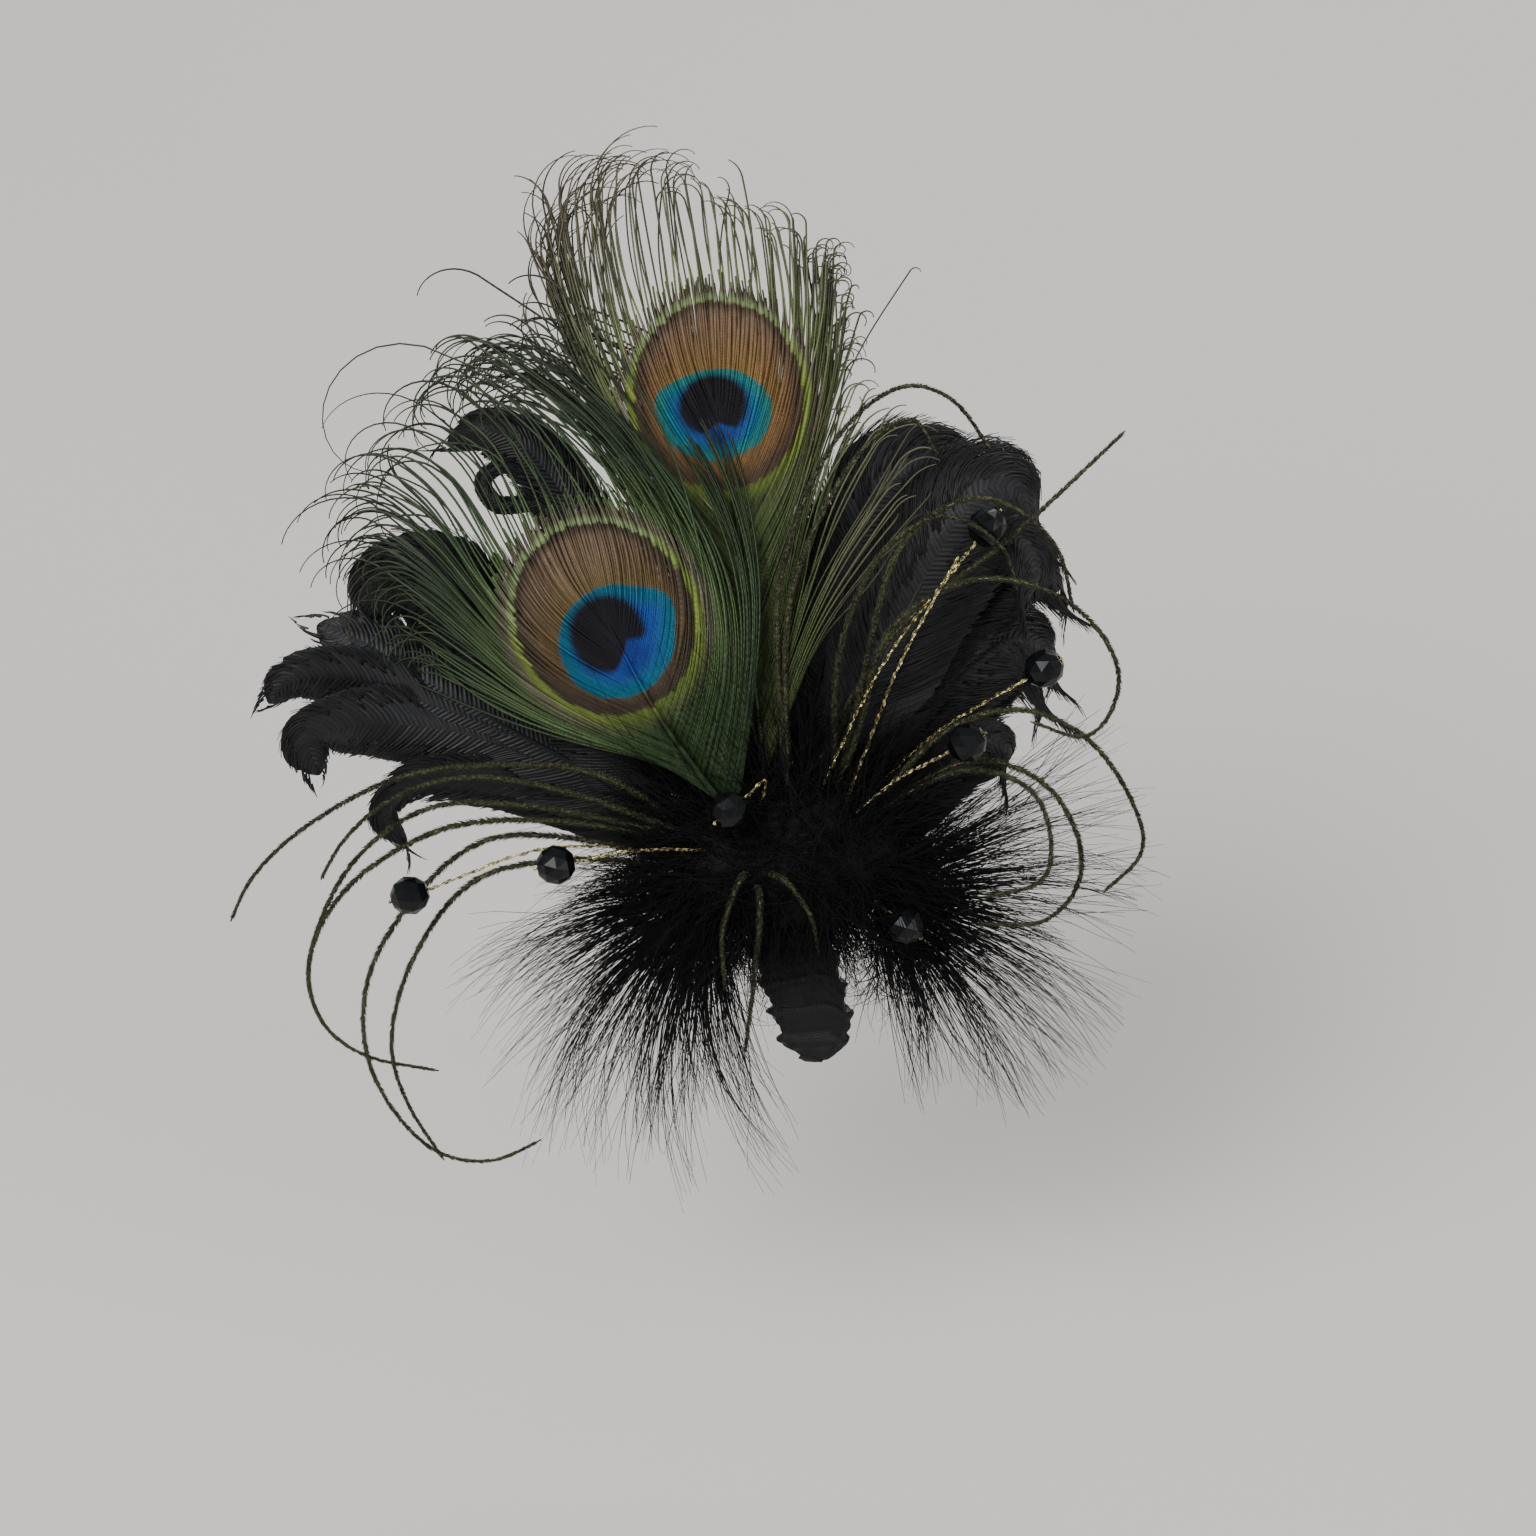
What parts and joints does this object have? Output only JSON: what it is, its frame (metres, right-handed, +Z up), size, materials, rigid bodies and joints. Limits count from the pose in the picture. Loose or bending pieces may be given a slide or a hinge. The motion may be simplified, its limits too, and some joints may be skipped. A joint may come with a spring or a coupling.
{
  "type": "feather fascinator",
  "caption": "Feather fascinator on a short ribbon-wrapped strip: peacock eye feathers, black curled goose feathers, marabou fluff, peacock herl and faceted beads on gold thread.",
  "frame": {"origin": "middle of the strip's underside, where it sits on the side of the head", "axes": "+Z up as worn, +X towards the wearer's face, -Y out from the side of the head; the seat's outward direction is 35 degrees above the horizon"},
  "size_m": [0.1888, 0.0994, 0.1958],
  "materials": {
    "ribbon": "black wrapped ribbon",
    "clip": "black enamelled spring steel",
    "marabou": "matt black fluff",
    "goose": "black dyed feather, soft sheen",
    "peacock": "iridescent green and bronze feather",
    "herl": "iridescent olive and brown herl",
    "bead": "polished black faceted glass",
    "gold_thread": "twisted gold metallic thread"
  },
  "bodies": {
    "root": {"base_strip": "ribbon", "bead_1": "bead", "bead_2": "bead", "bead_3": "bead", "bead_4": "bead", "bead_5": "bead", "bead_6": "bead", "bead_7": "bead", "eye_feather_lower": "peacock", "eye_feather_upper": "peacock", "goose_crown_left": "goose", "goose_crown_right": "goose", "goose_left_high": "goose", "goose_left_lobed": "goose", "goose_left_low": "goose", "goose_right_curl": "goose", "goose_right_high": "goose", "goose_right_low": "goose", "goose_right_mid": "goose", "goose_right_tuft": "goose", "hair_clip": "clip", "herl_left_high": "herl", "herl_left_low": "herl", "herl_low": "herl", "herl_right_high": "herl", "herl_right_low": "herl", "herl_spike": "herl", "herl_top": "herl", "marabou_left": "marabou", "marabou_puff": "marabou", "marabou_right": "marabou", "thread_1": "gold_thread", "thread_2": "gold_thread", "thread_3": "gold_thread", "thread_4": "gold_thread", "thread_5": "gold_thread", "thread_6": "gold_thread", "thread_7": "gold_thread", "thread_tail": "gold_thread"}
  },
  "joints": []
}
